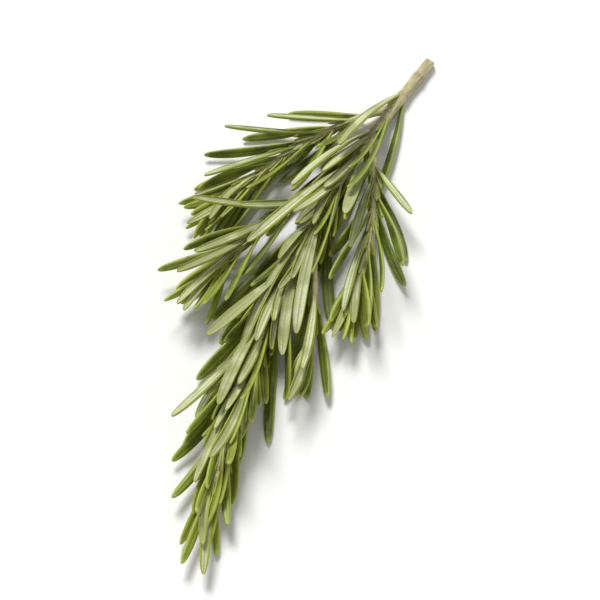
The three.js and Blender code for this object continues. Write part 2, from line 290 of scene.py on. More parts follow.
def leaf_balls(leaf, first_step):
    return [
        (add(at.point, at.across, row * leaf.width / 2), BALL_REACH, leaf.owner)
        for at in leaf.path[first_step:]
        for row in BALL_ROWS
    ]


def stem_balls(shoot):
    last = len(shoot.path) - 1
    return [(at.point, mix(shoot.radius, i / last), shoot.name) for i, at in enumerate(shoot.path)]


# ------------ growing: leaves

ROOT_OUT = 0.5  # radii of the stem from its axis to a leaf's root
TRIES = 13
TRY_BEARING = radians(9)
TRY_SPLAY = radians(4)


def flat_twist(across, face, outward):
    """The twist that lays a blade flat. On top of its stem, a leaf shows its underside."""
    over = -1 if outward[2] > ON_TOP else 1
    return atan2(over * across[2], over * face[2])


def place_leaf(shoot, rule, bearing, splay):
    u = rule.at / shoot.length
    at = station_at(shoot.path, u)
    outward = turned(at.face, at.across, bearing)
    heading = turned(at.heading, outward, splay * (1 - PRESSED * max(outward[2], 0)))
    face = square(at.heading, heading)
    root = add(at.point, outward, ROOT_OUT * mix(shoot.radius, u))
    twist = rule.twist + SETTLE * flat_twist(cross(heading, face), face, outward)
    path = grow_path(
        root, heading, face, length=rule.length, steps=LEAF_STEPS,
        half_width=rule.width / 2, thickness=LEAF_THICKNESS,
        bend=rule.bend, sway=rule.sway, twist=twist,
    )
    return SimpleNamespace(
        owner=shoot.name, at=rule.at, up_stem=u, bearing=bearing,
        length=rule.length, width=rule.width, path=path,
    )


def grow_leaf(shoot, rule, root_free=ROOT_FREE):
    touch = mix(TOUCH, smooth(TOUCH_REACH, rule.at / shoot.length))
    for i in range(TRIES):
        aside = (1 if i % 2 else -1) * floor((i + 1) / 2)
        bearing = rule.bearing + aside * TRY_BEARING
        splay = rule.splay + ((i % 3 - 1) * TRY_SPLAY if i else 0)
        leaf = place_leaf(shoot, rule, bearing, splay)
        if is_clear(leaf_balls(leaf, root_free), touch):
            shoot.leaves.append(leaf)
            occupy(leaf_balls(leaf, 0))
            return


def leaf_share_at(u):
    """Length of the leaves at a share of the way up a stem, against the longest."""
    full = mix((FOOT_LEAF_SHARE, 1), sin(pi * min(u / LONG_LEAVES_END, 1)))
    return full * mix((1, TIP_LEAF_SHARE / FOOT_LEAF_SHARE), smooth(TIP_LEAVES_REACH, u))


def pair_places(shoot):
    """How far up its stem each pair of leaves grows."""
    places = []
    at = shoot.bare
    while at < shoot.length:
        places.append(at)
        at += mix(shoot.spacing, (at - shoot.bare) / (shoot.length - shoot.bare))
    return places


def leaf_rules(shoot):
    rules = []
    vary = LEAF_SPREAD
    quarter = shoot.first_bearing
    for at in pair_places(shoot):
        u = at / shoot.length
        share = leaf_share_at(u) * shoot.leaf_share
        for side in (0, pi):
            rules.append(SimpleNamespace(
                at=min(at + vary.at * draw(), shoot.length),
                bearing=quarter + side + radians(vary.bearing * draw()),
                splay=radians(mix(SPLAY, u) + vary.splay * draw()),
                length=LEAF_LENGTH * share * (1 + vary.length * draw()),
                width=LEAF_WIDTH * mix((SLENDER, 1), share) * (1 + vary.width * draw()),
                bend=radians(LEAF_BEND + vary.bend * draw()),
                sway=radians(vary.sway * draw()),
                twist=radians(vary.twist * draw()),
            ))
        quarter += pi / 2
    return rules


def tuft_rules(rule, u):
    rules = []
    vary = TUFT_SPREAD
    fullness = smooth(TUFTS_FILL, u) * (1 - smooth(TUFTS_END, u))
    for i in range(floor(TUFT_LEAVES * fullness + 0.5)):
        ring = 0 if i < 2 else 1
        around = (1 if i % 2 else -1) * TUFT_AROUND[ring]
        share = mix(TUFT_SCALE, i / (TUFT_LEAVES - 1)) * (1 + vary.length * draw())
        rules.append(SimpleNamespace(
            at=rule.at + TUFT_RISE[0] + TUFT_RISE[1] * i,
            bearing=rule.bearing + radians(around + vary.bearing * draw()),
            splay=rule.splay * TUFT_SPLAY[ring] + radians(vary.splay * draw()),
            length=rule.length * share,
            width=rule.width * mix((SLENDER, 1), share),
            bend=radians(TUFT_BEND + vary.bend * draw()),
            sway=radians(vary.sway * draw()),
            twist=radians(vary.twist * draw()),
        ))
    return rules


# ------------ growing: the sprig

main_stem = SimpleNamespace(
    name="main_leafy_stem",
    path=main_stem_path(),
    length=STEM_LENGTH,
    radius=STEM_RADIUS,
    bare=FIRST_PAIR,
    spacing=PAIR_SPACING,
    first_bearing=radians(FIRST_BEARING),
    leaf_share=1,
    leaves=[],
)


def side_shoot(i, at, bearing, fork, length, curve):
    here = station_at(main_stem.path, at / STEM_LENGTH)
    outward = turned(here.face, here.across, radians(bearing))
    heading = turned(here.heading, outward, radians(fork))
    off_axis = mix(STEM_RADIUS, at / STEM_LENGTH) + SHOOT_RADIUS[0] * cos(radians(fork)) + SHOOT_GAP
    belly = SHOOT_RADIUS[0] + SHOOT_BELLY
    root = add(here.point, outward, off_axis)
    path = grow_path(
        root, heading, square(here.heading, heading), length=length, steps=length,
        half_width=belly, thickness=2 * belly, bend=radians(curve), sag=SHOOT_SAG,
    )
    return SimpleNamespace(
        name=f"side_shoot_{i + 1}",
        path=path,
        length=length,
        radius=SHOOT_RADIUS,
        bare=SHOOT_FOOT,
        spacing=SHOOT_PAIR_SPACING,
        first_bearing=radians(SHOOT_FIRST_BEARING[0] + SHOOT_FIRST_BEARING[1] * i),
        leaf_share=SHOOT_LEAF_SHARE,
        leaves=[],
        fork_at=at,
        fork_bearing=radians(bearing),
    )


side_shoots = [side_shoot(i, *form) for i, form in enumerate(SIDE_SHOOTS)]
shoots = [main_stem] + side_shoots
for shoot in shoots:
    occupy(stem_balls(shoot))

FOOT_BELOW = 5
FOOT_ABOVE = 4
FOOT_WIDTH = radians(50)


def gives_way(rule):
    """A leaf of the main stem just below or above a side shoot's foot gives way to it."""
    for shoot in side_shoots:
        apart = rule.bearing - shoot.fork_bearing
        apart = abs(atan2(sin(apart), cos(apart)))
        if -FOOT_BELOW < rule.at - shoot.fork_at < FOOT_ABOVE and apart < FOOT_WIDTH:
            return True
    return False


main_rules = [rule for rule in leaf_rules(main_stem) if not gives_way(rule)]
shoot_rules = [leaf_rules(shoot) for shoot in side_shoots]
young_rules = [young for rule in main_rules for young in tuft_rules(rule, rule.at / STEM_LENGTH)]
for rule in main_rules:
    grow_leaf(main_stem, rule)
for shoot, rules in zip(side_shoots, shoot_rules):
    for rule in rules:
        grow_leaf(shoot, rule)
for rule in young_rules:
    if not gives_way(rule):
        grow_leaf(main_stem, rule, YOUNG_ROOT_FREE)

# ------------ making: where the growth lies in the frame


def coordinates(mesh):
    flat = np.empty(len(mesh.vertices) * 3)
    mesh.vertices.foreach_get("co", flat)
    return flat.reshape(-1, 3)


# The rim of the cut end is centred on the point where the main stem starts to grow.
RIM_DEPTH = 2 * MM
cad_stem = coordinates(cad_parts[main_stem.name].data)
rim = cad_stem[cad_stem[:, 1] > cad_stem[:, 1].max() - RIM_DEPTH]
START = (rim.min(axis=0) + rim.max(axis=0)) / 2 * (1, 1, 0)
LOW, HIGH = (np.array(corner) for corner in cad_box)

dice = random.Random(SEED)


def between(ends):
    return dice.uniform(*ends)


def lay_along(path, along, across, up):
    """Where points go that are a share along a path, and so many millimetres across and above it."""
    points, headings, faces = (
        np.array([getattr(at, part) for at in path]) for part in ("point", "heading", "face")
    )
    where = np.clip(along, 0, 1) * (len(path) - 1)
    low = np.minimum(where.astype(int), len(path) - 2)
    k = (where - low)[:, None]
    heading = headings[low] * (1 - k) + headings[low + 1] * k
    heading /= np.linalg.norm(heading, axis=1)[:, None]
    face = faces[low] * (1 - k) + faces[low + 1] * k
    face -= heading * np.sum(face * heading, axis=1)[:, None]
    face /= np.linalg.norm(face, axis=1)[:, None]
    step = np.linalg.norm(points[1] - points[0]) * (len(path) - 1)
    beyond = (along - np.clip(along, 0, 1))[:, None] * step
    point = points[low] * (1 - k) + points[low + 1] * k + heading * beyond
    placed = point + np.cross(heading, face) * across[:, None] + face * up[:, None]
    placed[:, 2] = np.maximum(placed[:, 2], 0)
    return np.clip(placed * MM + START, LOW, HIGH)


# ------------ making: small helpers


def deselect_all():
    bpy.ops.object.select_all(action="DESELECT")


def make_active(piece):
    deselect_all()
    piece.select_set(True)
    bpy.context.view_layer.objects.active = piece


def edit(piece):
    """Opens a piece in edit mode, with nothing in it selected."""
    make_active(piece)
    bpy.ops.object.mode_set(mode="EDIT")
    bpy.ops.mesh.select_mode(type="VERT")
    bpy.ops.mesh.select_all(action="DESELECT")


def pick(piece, wanted):
    """Selects the vertices that are wanted and the faces between them, and returns their middle."""
    mesh = bmesh.from_edit_mesh(piece.data)
    bpy.ops.mesh.select_all(action="DESELECT")
    picked = [vertex for vertex in mesh.verts if wanted(vertex)]
    for vertex in picked:
        vertex.select_set(True)
    mesh.select_flush(True)
    bmesh.update_edit_mesh(piece.data)
    return sum((vertex.co for vertex in picked), Vector()) / len(picked)


def draw_out(y, step, across, up):
    """Extrudes the picked end by a step along Y, from y, and scales its new rim across and up."""
    bpy.ops.mesh.extrude_region_move(TRANSFORM_OT_translate={"value": (0, step, 0)})
    bpy.ops.transform.resize(value=(across, 1, up), center_override=(0, y + step, 0))


def close_edit(piece):
    """Turns every face of a piece outwards and goes back to object mode."""
    bpy.ops.mesh.select_all(action="SELECT")
    bpy.ops.mesh.normals_make_consistent(inside=False)
    bpy.ops.object.mode_set(mode="OBJECT")


def rounded(piece):
    """Rounds a piece by one level of subdivision surface, applied."""
    make_active(piece)
    rounding = piece.modifiers.new("rounding", "SUBSURF")
    rounding.levels = rounding.render_levels = 1
    bpy.ops.object.modifier_apply(modifier=rounding.name)
    bpy.ops.object.shade_smooth()


def write_attribute(piece, name, *three):
    """Writes three numbers for each vertex, or for all of them alike, which the materials read by name."""
    attribute = piece.data.attributes.new(name, "FLOAT_VECTOR", "POINT")
    rows = np.stack(np.broadcast_arrays(*three), axis=1)
    attribute.data.foreach_set("vector", rows.astype(np.float32).ravel())


def copy_of(model, name):
    piece = model.copy()
    piece.data = model.data.copy()
    piece.name = name
    bpy.context.scene.collection.objects.link(piece)
    return piece


def joined(pieces, name):
    make_active(pieces[0])
    for piece in pieces:
        piece.select_set(True)
    bpy.ops.object.join()
    pieces[0].name = pieces[0].data.name = name
    return pieces[0]


def linear(colour):
    """An sRGB hex colour as linear red, green, blue and alpha."""
    shares = [int(colour[i : i + 2], 16) / 255 for i in (1, 3, 5)]
    return (*(c / 12.92 if c <= 0.04045 else ((c + 0.055) / 1.055) ** 2.4 for c in shares), 1)


def feed(material, fed, inputs):
    """Gives each of a node's inputs a value, a hex colour, an output, or another node's first output."""
    for name, value in inputs.items():
        if isinstance(value, bpy.types.Node):
            value = value.outputs[0]
        if isinstance(value, bpy.types.NodeSocket):
            material.node_tree.links.new(value, fed.inputs[name])
        else:
            fed.inputs[name].default_value = linear(value) if isinstance(value, str) else value


def node(material, kind, inputs=(), **settings):
    """Adds a node with its settings and what feeds it."""
    made = material.node_tree.nodes.new(kind)
    for name, value in settings.items():
        setattr(made, name, value)
    feed(material, made, dict(inputs))
    return made


# ------------ materials

PER_MM = 1 / MM  # on Object coordinates, a noise scale of PER_MM / n has features n millimetres across

# The sockets of a colour Mix node.
MIX_SHARE, MIX_FROM, MIX_TO, MIXED = 0, 6, 7, 2


def new_material(name):
    material = bpy.data.materials.new(name)
    material.use_nodes = True
    return material, material.node_tree.nodes["Principled BSDF"]


def tinted(material, under, over, reading, reach=(0, 1), share=1, edge="SMOOTHSTEP"):
    """Lays one colour over another: none where a reading's reach starts, and its share where it ends."""
    shown = node(
        material,
        "ShaderNodeMapRange",
        {"Value": reading, "From Min": reach[0], "From Max": reach[1], "To Max": share},
        interpolation_type=edge,
    )
    colours = {MIX_SHARE: shown, MIX_FROM: under, MIX_TO: over}
    return node(material, "ShaderNodeMix", colours, data_type="RGBA").outputs[MIXED]


def read_attribute(material, name):
    """The three numbers that write_attribute wrote."""
    vector = node(material, "ShaderNodeAttribute", attribute_name=name).outputs["Vector"]
    return node(material, "ShaderNodeSeparateXYZ", {0: vector}).outputs


def blade_reading(material):
    """What a leaf's materials read of it.

    The distance from the midline is in half widths, and those from the root and tip are in millimetres. A
    leaf's tone goes from -1 to 1, and its youth from 0 to 1.
    """
    side, along, tone = read_attribute(material, "blade")
    youth, to_tip, _ = read_attribute(material, "life")
    aside = node(material, "ShaderNodeMath", {0: side}, operation="ABSOLUTE")
    return aside, along, to_tip, tone, youth


# Where the parts of a leaf start to show and where they show in full: half widths from the midline, or
# millimetres from the tip or root.
GROOVE = (0.17, 0.02)
CUTICLE_RIM = (0.62, 0.99)
CUTICLE_TIP = (1.8, 0.1)
MIDRIB = (0.17, 0.06)
FELT_RIM = (0.66, 0.84)
FELT_TIP = (1.4, 0.1)
LEAF_ROOT = (3.2, 0.4)

LEAF_SHADE = 7  # millimetres between slow changes of shade along a leaf
MOTTLE = 0.5  # millimetres across the mottling of its tissue
PEBBLE = 0.3  # of the cuticle: 0.08 mm in life, drawn as coarse as it needs to show
LEAF_TONE = 0.34  # how far a leaf's own tone shifts its shade


def leaf_cuticle():
    """Living rosemary leaf, upper side: a thick waxy cuticle over deep olive tissue, as grown.

    The eye gets a broad soft gloss over fine pebbling, a sunken midline darkened with painted shade,
    lighter margins where the blade rolls, and a pale blunt tip.
    """
    material, shader = new_material("rosemary_leaf_cuticle")
    at = node(material, "ShaderNodeTexCoord").outputs["Object"]
    aside, along, to_tip, tone, youth = blade_reading(material)

    slow = node(material, "ShaderNodeTexNoise", {"Vector": at, "Scale": PER_MM / LEAF_SHADE, "Detail": 2})
    shade = node(
        material,
        "ShaderNodeMapRange",
        {"Value": slow, "From Min": 0.36, "From Max": 0.64},
        interpolation_type="SMOOTHSTEP",
    )
    toned = node(material, "ShaderNodeMath", {0: tone, 1: LEAF_TONE, 2: shade}, operation="MULTIPLY_ADD")
    mottle = node(material, "ShaderNodeTexNoise", {"Vector": at, "Scale": PER_MM / MOTTLE, "Detail": 3})

    tissue = tinted(material, "#4c590f", "#7a8826", toned, edge="LINEAR")
    mottled = tinted(material, tissue, "#8a9638", mottle, (0.52, 0.72), 0.45, edge="LINEAR")
    young = tinted(material, mottled, "#95a338", youth, edge="LINEAR")
    # Painted shade: the sunken midline groove is darkened, as if in the shadow of its raised sides.
    groove_shade = tinted(material, young, "#434e10", aside, GROOVE, share=0.6)
    rimmed = tinted(material, groove_shade, "#a1ab3e", aside, CUTICLE_RIM, share=0.9)
    tipped = tinted(material, rimmed, "#adb354", to_tip, CUTICLE_TIP, share=0.75)
    rooted = tinted(material, tipped, "#b3b56a", along, LEAF_ROOT, share=0.85)

    pebbles = node(
        material, "ShaderNodeTexVoronoi", {"Vector": at, "Scale": PER_MM / PEBBLE}, feature="SMOOTH_F1"
    )
    bump = node(
        material,
        "ShaderNodeBump",
        {"Height": pebbles, "Strength": 0.35, "Distance": 0.05 * MM},
        invert=True,
    )
    gloss = node(
        material,
        "ShaderNodeMapRange",
        {"Value": mottle, "From Min": 0.3, "From Max": 0.7, "To Min": 0.36, "To Max": 0.5},
    )
    feed(material, shader, {
        "Base Color": rooted, "Normal": bump, "Roughness": gloss, "IOR": 1.42,
        "Coat Weight": 0.06, "Coat Roughness": 0.3,
    })
    return material


FELT_SHADE = 5  # millimetres between slow changes of shade along a leaf's underside
HAIR_CLUMP = 0.28  # of the felt: 0.05 mm across in life, drawn as coarse as it needs to show
FELT_TONE = 0.22  # how far a leaf's own tone shifts this shade


def leaf_felt():
    """Living rosemary leaf, underside: a felt of branched white hairs, with a raised green midrib.

    The eye gets a matte, cream to grey-green wool, with a thin green line down the middle.
    """
    material, shader = new_material("rosemary_leaf_felt")
    at = node(material, "ShaderNodeTexCoord").outputs["Object"]
    aside, along, to_tip, tone, youth = blade_reading(material)

    wool = node(
        material,
        "ShaderNodeTexNoise",
        {"Vector": at, "Scale": PER_MM / HAIR_CLUMP, "Detail": 4, "Roughness": 0.65},
    )
    slow = node(material, "ShaderNodeTexNoise", {"Vector": at, "Scale": PER_MM / FELT_SHADE, "Detail": 1})
    toned = node(material, "ShaderNodeMath", {0: tone, 1: FELT_TONE, 2: slow}, operation="MULTIPLY_ADD")

    thick = tinted(material, "#9fa572", "#cdd1aa", toned, (0.3, 0.66))
    woolly = tinted(material, thick, "#8c9461", wool, (0.5, 0.34), 0.6, edge="LINEAR")
    young = tinted(material, woolly, "#b6bc76", youth, share=0.5, edge="LINEAR")
    ribbed = tinted(material, young, "#929b52", aside, MIDRIB, share=0.75)
    rimmed = tinted(material, ribbed, "#8b9834", aside, FELT_RIM, share=0.9)
    tipped = tinted(material, rimmed, "#a9b05a", to_tip, FELT_TIP, share=0.7)
    rooted = tinted(material, tipped, "#bcb88a", along, LEAF_ROOT, share=0.8)

    bump = node(material, "ShaderNodeBump", {"Height": wool, "Strength": 0.6, "Distance": 0.08 * MM})
    feed(material, shader, {
        "Base Color": rooted, "Normal": bump, "Roughness": 0.92,
        "Sheen Weight": 0.25, "Sheen Roughness": 0.5,
    })
    return material


# Millimetres round the stem and along it, as its grain attribute has them.
BARK_FIBRE = (0.3, 4)  # 0.12 across in life, drawn as coarse as it needs to show
BARK_PATCH = (2, 5)

PATCHY = (0.38, 0.62)
DOWNY = (0.2, 0.75)  # the youth at which dry bark turns downy


def young_bark():
    """Rosemary bark of the season: thin, fibrous, drying as it ages, downy and green near the tip.

    The eye gets a matte tan with a pink cast, streaked lengthwise, with brown cracks low down and a brown
    ring where each pair of leaves grows.
    """
    material, shader = new_material("rosemary_bark")
    grain = node(material, "ShaderNodeAttribute", attribute_name="grain").outputs["Vector"]
    youth, ring, _ = read_attribute(material, "life")

    fibre_at, patch_at = (
        node(material, "ShaderNodeMapping", {"Vector": grain, "Scale": (1 / across, 1 / along, 1)})
        for across, along in (BARK_FIBRE, BARK_PATCH)
    )
    fibres = node(material, "ShaderNodeTexNoise", {"Vector": fibre_at, "Scale": 1, "Detail": 4})
    patches = node(material, "ShaderNodeTexNoise", {"Vector": patch_at, "Scale": 1, "Detail": 3})

    old = tinted(material, "#b0a77e", "#cec79c", patches, PATCHY, edge="LINEAR")
    cracked = tinted(material, old, "#7a6a4b", fibres, (0.5, 0.36), 0.75, edge="LINEAR")
    downy = tinted(material, "#b6b67e", "#d1cfa2", patches, PATCHY, edge="LINEAR")
    aged = tinted(material, cracked, downy, youth, DOWNY)
    ringed = tinted(material, aged, "#8c7652", ring, share=0.5, edge="LINEAR")

    bump = node(material, "ShaderNodeBump", {"Height": fibres, "Strength": 0.9, "Distance": 0.16 * MM})
    rough = node(
        material,
        "ShaderNodeMapRange",
        {"Value": fibres, "From Min": 0.3, "From Max": 0.7, "To Min": 0.9, "To Max": 0.72},
    )
    feed(material, shader, {"Base Color": ringed, "Normal": bump, "Roughness": rough})
    return material


WOOD_RAYS = 5  # some 30 round the cut face: 0.03 mm wide in life, drawn as coarse as they need to show
WOOD_PORE = 0.15  # 0.04 mm in life, drawn as coarse as it needs to show
GREEN_RING = (0.72, 0.84)  # radii of the stem
PITH = (0.32, 0.22)


def cut_wood():
    """Fresh rosemary wood, cut across by a blade: pale, dense, with a soft pith.

    The eye gets a damp cream face with fine rays, a browner middle and a greener ring under the bark.
    """
    material, shader = new_material("rosemary_cut_wood")
    # Place on the cut face, in radii of the stem, which makes the ring and the pith round.
    section = node(material, "ShaderNodeAttribute", attribute_name="section").outputs["Vector"]
    out = node(material, "ShaderNodeVectorMath", {0: section}, operation="LENGTH").outputs["Value"]
    way_out = node(material, "ShaderNodeVectorMath", {0: section}, operation="NORMALIZE")
    rays = node(material, "ShaderNodeTexNoise", {"Vector": way_out, "Scale": WOOD_RAYS, "Detail": 3})
    wood = tinted(material, "#c9bc88", "#e3dbb0", rays, (0.4, 0.62), edge="LINEAR")
    ringed = tinted(material, wood, "#a3a55c", out, GREEN_RING, share=0.8)
    pithy = tinted(material, ringed, "#b7a66f", out, PITH, share=0.8)

    at = node(material, "ShaderNodeTexCoord").outputs["Object"]
    pores = node(material, "ShaderNodeTexNoise", {"Vector": at, "Scale": PER_MM / WOOD_PORE, "Detail": 3})
    bump = node(material, "ShaderNodeBump", {"Height": pores, "Strength": 0.5, "Distance": 0.05 * MM})
    feed(material, shader, {"Base Color": pithy, "Normal": bump, "Roughness": 0.7})
    return material


HAIR_SHADE = 0.4  # millimetres, so that each hair has its own shade


def plant_hair():
    """Down of dead, air-filled plant hairs on young stems.

    The eye gets a dry, milky fuzz against the light.
    """
    material, shader = new_material("rosemary_down")
    at = node(material, "ShaderNodeTexCoord").outputs["Object"]
    shade = node(material, "ShaderNodeTexNoise", {"Vector": at, "Scale": PER_MM / HAIR_SHADE})
    milky = tinted(material, "#c3c49a", "#e9e8d4", shade, edge="LINEAR")
    feed(material, shader, {"Base Color": milky, "Roughness": 0.8, "Sheen Weight": 0.4})
    return material


CUTICLE = leaf_cuticle()
FELT = leaf_felt()
BARK = young_bark()
WOOD = cut_wood()
DOWN = plant_hair()

# ------------ making: straight models

# Half of a leaf's section, from the groove in its upper side over the rolled margin to the midrib below:
# across in half widths, and up in thicknesses.
LEAF_SECTION = (
    (0, 0.28), (0.34, 0.5), (0.78, 0.28), (1, -0.12),
    (0.84, -0.44), (0.6, -0.24), (0.28, -0.02), (0, -0.34),
)
# An older leaf's margins are rolled right in, so that only a furrow of felt shows beside the midrib.
ROLLED_SECTION = (
    (0, 0.26), (0.34, 0.5), (0.8, 0.3), (1, -0.1),
    (0.82, -0.46), (0.52, -0.42), (0.32, -0.08), (0, -0.32),
)

# Outlines: the half width at shares of the way along a leaf.
BROAD_LEAF = (
    (0, 0.32), (0.05, 0.33), (0.16, 0.52), (0.32, 0.78), (0.52, 0.95),
    (0.7, 1), (0.85, 0.92), (0.94, 0.7), (0.985, 0.42), (1, 0.14),
)
SLIM_LEAF = (
    (0, 0.38), (0.05, 0.39), (0.17, 0.58), (0.35, 0.84), (0.56, 0.98),
    (0.73, 1), (0.87, 0.84), (0.95, 0.6), (0.985, 0.36), (1, 0.12),
)
YOUNG_LEAF = (
    (0, 0.5), (0.06, 0.52), (0.2, 0.8), (0.42, 1), (0.64, 0.96),
    (0.82, 0.78), (0.93, 0.52), (0.98, 0.3), (1, 0.12),
)
BUD_SECTION = ((0, 0.4), (0.95, 0.16), (0.8, -0.36), (0, -0.2))
BUD_LEAF = ((0, 0.55), (0.25, 0.9), (0.55, 1), (0.85, 0.66), (1, 0.2))

FLAT_FELT = 0.9  # half widths from the midrib to the edge of the felt
ROLLED_FELT = 0.6
THINNEST = 0.6  # where a leaf narrows to nothing, against its full thickness


def width_share(outline, along):
    return np.interp(along, [row[0] for row in outline], [row[1] for row in outline])


def thickness_share(width):
    return mix((THINNEST, 1), width)


def straight_leaf(name, section, outline, felt_within):
    """A leaf along Y from 0 to 1, with a half width and a thickness of 1, for leaves to be copied from.

    The faces of its underside within so many half widths of the midrib are felt.
    """
    points = 2 * (len(section) - 1)
    deselect_all()
    bpy.ops.mesh.primitive_circle_add(vertices=points, fill_type="NGON", rotation=(pi / 2, 0, 0))
    leaf = bpy.context.object
    leaf.name = name
    bpy.ops.object.transform_apply(rotation=True)
    edit(leaf)
    for i in range(points):
        middle = pick(leaf, lambda vertex: vertex.index == i)
        across, up = section[min(i, points - i)]
        bpy.ops.transform.translate(value=Vector((copysign(across, middle.x), 0, up)) - middle)
    bpy.ops.mesh.select_all(action="SELECT")
    foot = outline[0][1]
    bpy.ops.transform.resize(value=(foot, 1, thickness_share(foot)), center_override=(0, 0, 0))
    for (y, wide), (next_y, next_wide) in zip(outline, outline[1:]):
        thinner = thickness_share(next_wide) / thickness_share(wide)
        draw_out(y, next_y - y, next_wide / wide, thinner)
    close_edit(leaf)
    leaf.data.materials.append(CUTICLE)
    leaf.data.materials.append(FELT)
    for face in leaf.data.polygons:
        corners = [leaf.data.vertices[i].co for i in face.vertices]
        under = all(co.z < 0 and abs(co.x) < felt_within * width_share(outline, co.y) for co in corners)
        face.material_index = 1 if under else 0
    return leaf


STRIPPED_PAIR = FIRST_PAIR - PAIR_SPACING[0]  # where a pair was pulled off the heel and left two scars
SCAR_WIDTH = radians(30)  # half of the arc of bark that a scar takes up
SCAR_INSET = 0.14
SCAR_RISE = 0.16
# The swelling at a pair: rows so many millimetres beside it, and their thickness against the plain taper.
NODE_ROWS = ((-0.9, 0.98), (-0.15, 1.1), (0.45, 1.2), (1, 1.04))
LAST_ROW = 0.4  # no such row is nearer to the tip
NEAR = 0.01  # millimetres between places that count as one
STEM_TAPER_END = 0.5  # the last row of a stem, against its radius at the tip
BARK_EDGE = 0.16  # width of the ring of bark round the cut face
PITH_EDGE = 0.7  # width of the ring of wood inside it
PITH_DEPTH = 0.08
WOOD_WITHIN = 0.84  # share of the radius that is wood


def stem_pairs(shoot):
    """How far up its stem each pair of leaves grows or grew."""
    stripped = [STRIPPED_PAIR] if shoot is main_stem else []
    return stripped + pair_places(shoot)


def node_rows(shoot):
    """Where a stem's rows are, in millimetres, and how thick it is there against its plain taper."""
    rows = [(at + beside, share) for at in stem_pairs(shoot) for beside, share in NODE_ROWS]
    rows = sorted(row for row in rows if row[0] < shoot.length - LAST_ROW)
    return rows + [(shoot.length, STEM_TAPER_END)]


def radius_at(shoot, at):
    bare = HEEL if shoot is main_stem else 0
    return mix(shoot.radius, max(at - bare, 0) / (shoot.length - bare))


def leaf_scars(stem):
    """Raises the two scars of the pair that was stripped from the heel."""
    for bearing in (radians(FIRST_BEARING) - pi / 2, radians(FIRST_BEARING) + pi / 2):
        outward = Vector((sin(bearing), 0, cos(bearing)))
        reach = cos(SCAR_WIDTH)

        def on_scar(vertex):
            off_axis = Vector((vertex.co.x, 0, vertex.co.z))
            beside = vertex.co.y - STRIPPED_PAIR
            near = NODE_ROWS[1][0] - NEAR < beside < NODE_ROWS[2][0] + NEAR
            return near and off_axis.normalized().dot(outward) > reach

        pick(stem, on_scar)
        bpy.ops.mesh.inset(thickness=SCAR_INSET)
        bpy.ops.transform.translate(value=outward * SCAR_RISE)


def straight_stem(shoot, name, sides, foot_rows):
    """A stem along Y in millimetres, swollen where each pair of leaves grows."""
    rows = foot_rows + node_rows(shoot)
    deselect_all()
    first_at, first_share = rows[0]
    bpy.ops.mesh.primitive_circle_add(
        vertices=sides,
        radius=radius_at(shoot, first_at) * first_share,
        fill_type="NGON",
        location=(0, first_at, 0),
        rotation=(pi / 2, 0, 0),
    )
    stem = bpy.context.object
    stem.name = name
    bpy.ops.object.transform_apply(location=True, rotation=True)
    edit(stem)
    bpy.ops.mesh.select_all(action="SELECT")
    for (at, share), (next_at, next_share) in zip(rows, rows[1:]):
        wider = radius_at(shoot, next_at) * next_share / (radius_at(shoot, at) * share)
        draw_out(at, next_at - at, wider, wider)
    if shoot is main_stem:
        leaf_scars(stem)
        # The cut face: the bark's edge, the wood, and the pith, which dries a little below the cut.
        pick(stem, lambda vertex: vertex.co.y < PITH_DEPTH)
        bpy.ops.mesh.inset(thickness=BARK_EDGE)
        bpy.ops.mesh.inset(thickness=PITH_EDGE)
        bpy.ops.transform.translate(value=(0, PITH_DEPTH, 0))
    close_edit(stem)
    stem.data.materials.append(BARK)
    if shoot is main_stem:
        stem.data.materials.append(WOOD)
        for face in stem.data.polygons:
            on_end = all(stem.data.vertices[i].co.y < 2 * PITH_DEPTH for i in face.vertices)
            inside = Vector((face.center.x, face.center.z)).length < WOOD_WITHIN * STEM_RADIUS[0]
            face.material_index = 1 if on_end and inside else 0
    return stem


# ------------ making: leaves and stems in place

BROAD_FROM = 25  # millimetres: leaves at least this long are broad
SLIM_FROM = 15

broad_leaf = straight_leaf("broad_leaf", LEAF_SECTION, BROAD_LEAF, FLAT_FELT)
rolled_leaf = straight_leaf("rolled_leaf", ROLLED_SECTION, BROAD_LEAF, ROLLED_FELT)
slim_leaf = straight_leaf("slim_leaf", ROLLED_SECTION, SLIM_LEAF, ROLLED_FELT)
young_leaf = straight_leaf("young_leaf", LEAF_SECTION, YOUNG_LEAF, FLAT_FELT)
for model in (broad_leaf, rolled_leaf, slim_leaf, young_leaf):
    rounded(model)
bud_leaf = straight_leaf("bud_leaf", BUD_SECTION, BUD_LEAF, FLAT_FELT)
make_active(bud_leaf)
bpy.ops.object.shade_smooth()


def model_for(leaf):
    if leaf.length < SLIM_FROM:
        return young_leaf, YOUNG_LEAF
    if leaf.length < BROAD_FROM:
        return slim_leaf, SLIM_LEAF
    return dice.choice((broad_leaf, rolled_leaf)), BROAD_LEAF


CUP = (-0.04, 0.16)  # how far a leaf's margins fall below its midline, against its width
WAVE = (-0.35, 0.35)  # millimetres that the middle of the longest leaf lies to one side
LIFT_AT_TIP = (-0.5, 0.35)  # millimetres that its tip lifts
NARROWEST = 0.3  # half widths: nearer to its ends a leaf's margins are drawn no closer than this
TONES = (-1, 1)


